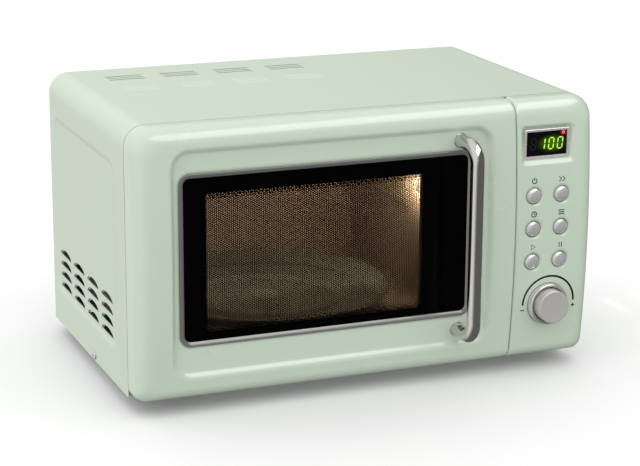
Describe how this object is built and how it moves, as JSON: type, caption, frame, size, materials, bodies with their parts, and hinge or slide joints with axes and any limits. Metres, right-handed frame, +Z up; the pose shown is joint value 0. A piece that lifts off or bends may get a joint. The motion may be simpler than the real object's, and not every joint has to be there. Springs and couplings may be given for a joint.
{
  "type": "microwave oven",
  "caption": "Rounded retro countertop microwave oven with side-hinged window door, tube handle, display, domed push buttons, selector knob and glass turntable.",
  "frame": {"origin": "middle of the bounding box, on the surface that the feet stand on", "axes": "+X to the right seen from the front, +Y from the door to the back, +Z up"},
  "size_m": [0.4446, 0.3407, 0.258],
  "materials": {
    "mint_steel": "gloss enamel",
    "mint_plastic": "gloss paint over plastic",
    "galvanised": "zinc-coated",
    "zinc_plated": "satin",
    "screw_steel": "plated",
    "foot_rubber": "matt",
    "frame_paint": "satin",
    "cavity_paint": "satin enamel",
    "mica": "matt mica sheet",
    "chrome": "polished",
    "brushed_knob": "brushed",
    "button_silver": "satin silver",
    "bezel_silver": "satin silver",
    "display_glass": "gloss black",
    "window_glass": "polished, black border",
    "screen_steel": "matt black",
    "clear_film": "clear film",
    "choke_plastic": "matt",
    "black_plastic": "matt",
    "grey_plastic": "matt",
    "cream_plastic": "matt",
    "circuit_board": "matt",
    "laminated_steel": "varnished",
    "turntable_glass": "clear",
    "lamp_glass": "clear, lit"
  },
  "bodies": {
    "cabinet": {"base_plate": "galvanised", "capacitor": "zinc_plated", "cavity_floor": "cavity_paint", "cavity_lamp": "lamp_glass", "cavity_rear": "cavity_paint", "cavity_wrap": "cavity_paint", "control_board": "circuit_board", "control_panel": "mint_plastic", "cord_gland": "black_plastic", "cover_screw_left": "screw_steel", "cover_screw_right": "screw_steel", "display_bezel": "bezel_silver", "display_lens": "display_glass", "encoder": "grey_plastic", "fan_housing": "grey_plastic", "fan_motor": "zinc_plated", "foot_front_left": "foot_rubber", "foot_front_right": "foot_rubber", "foot_rear_left": "foot_rubber", "foot_rear_right": "foot_rubber", "front_frame": "frame_paint", "hinge_bracket_lower": "galvanised", "hinge_bracket_upper": "galvanised", "knob_bezel": "chrome", "latch_bracket": "cream_plastic", "lower_switch": "black_plastic", "magnetron": "zinc_plated", "outer_cover": "mint_steel", "rear_panel": "galvanised", "transformer": "laminated_steel", "turntable_motor": "zinc_plated", "upper_switch": "black_plastic", "waveguide": "galvanised", "waveguide_cover": "mica"},
    "door": {"door_shell": "mint_plastic", "window_trim": "chrome", "door_glass": "window_glass", "door_pan": "galvanised", "door_screen": "screen_steel", "inner_window": "clear_film", "choke_cover": "choke_plastic", "hinge_bush_upper": "cream_plastic", "hinge_bush_lower": "cream_plastic", "handle": "chrome"},
    "latch": {"door_latch": "cream_plastic"},
    "knob": {"selector_knob": "brushed_knob"},
    "turntable": {"glass_turntable": "turntable_glass", "drive_coupler": "cream_plastic"},
    "roller_ring": {"roller_ring": "cream_plastic"},
    "roller_1": {"roller_1": "cream_plastic"},
    "roller_2": {"roller_2": "cream_plastic"},
    "roller_3": {"roller_3": "cream_plastic"},
    "fan": {"fan_blade": "cream_plastic"},
    "power_button": {"power_button": "button_silver"},
    "express_button": {"express_button": "button_silver"},
    "clock_button": {"clock_button": "button_silver"},
    "menu_button": {"menu_button": "button_silver"},
    "start_button": {"start_button": "button_silver"},
    "stop_button": {"stop_button": "button_silver"}
  },
  "joints": [
    {"name": "door_hinge", "type": "hinge", "parent": "cabinet", "child": "door", "pos_m": [-0.213, -0.1145, 0.13625], "axis": [0, 0, -1], "range_deg": [0, 95]},
    {"name": "latch_lift", "type": "slide", "parent": "door", "child": "latch", "axis": [0, 0, 1], "range_m": [0, 0.004], "stiffness_N_per_m": 300, "springref_m": -0.003},
    {"name": "power_press", "type": "slide", "parent": "cabinet", "child": "power_button", "axis": [0, 1, 0], "range_m": [0, 0.0015], "stiffness_N_per_m": 800, "springref_m": -0.0006},
    {"name": "express_press", "type": "slide", "parent": "cabinet", "child": "express_button", "axis": [0, 1, 0], "range_m": [0, 0.0015], "stiffness_N_per_m": 800, "springref_m": -0.0006},
    {"name": "clock_press", "type": "slide", "parent": "cabinet", "child": "clock_button", "axis": [0, 1, 0], "range_m": [0, 0.0015], "stiffness_N_per_m": 800, "springref_m": -0.0006},
    {"name": "menu_press", "type": "slide", "parent": "cabinet", "child": "menu_button", "axis": [0, 1, 0], "range_m": [0, 0.0015], "stiffness_N_per_m": 800, "springref_m": -0.0006},
    {"name": "start_press", "type": "slide", "parent": "cabinet", "child": "start_button", "axis": [0, 1, 0], "range_m": [0, 0.0015], "stiffness_N_per_m": 800, "springref_m": -0.0006},
    {"name": "stop_press", "type": "slide", "parent": "cabinet", "child": "stop_button", "axis": [0, 1, 0], "range_m": [0, 0.0015], "stiffness_N_per_m": 800, "springref_m": -0.0006},
    {"name": "knob_turn", "type": "hinge", "parent": "cabinet", "child": "knob", "pos_m": [0.1743, -0.1365, 0.0667], "axis": [0, -1, 0], "continuous": true},
    {"name": "turntable_spin", "type": "hinge", "parent": "cabinet", "child": "turntable", "pos_m": [-0.045, 0.0265, 0.0385], "axis": [0, 0, 1], "continuous": true},
    {"name": "roller_ring_spin", "type": "hinge", "parent": "cabinet", "child": "roller_ring", "pos_m": [-0.045, 0.0265, 0.0448], "axis": [0, 0, 1], "continuous": true},
    {"name": "roller_1_spin", "type": "hinge", "parent": "roller_ring", "child": "roller_1", "pos_m": [0.041, 0.0265, 0.0448], "axis": [1, 0, 0], "continuous": true},
    {"name": "roller_2_spin", "type": "hinge", "parent": "roller_ring", "child": "roller_2", "pos_m": [-0.088, 0.10098, 0.0448], "axis": [-0.5, 0.866, 0], "continuous": true},
    {"name": "roller_3_spin", "type": "hinge", "parent": "roller_ring", "child": "roller_3", "pos_m": [-0.088, -0.04798, 0.0448], "axis": [-0.5, -0.866, 0], "continuous": true},
    {"name": "fan_spin", "type": "hinge", "parent": "cabinet", "child": "fan", "pos_m": [0.16, 0.1155, 0.1745], "axis": [0, 1, 0], "continuous": true}
  ],
  "couplings": [
    {"joint": "roller_ring_spin", "follows": "turntable_spin", "ratio": 0.5},
    {"joint": "roller_1_spin", "follows": "turntable_spin", "ratio": -7.1667},
    {"joint": "roller_2_spin", "follows": "turntable_spin", "ratio": -7.1667},
    {"joint": "roller_3_spin", "follows": "turntable_spin", "ratio": -7.1667}
  ]
}
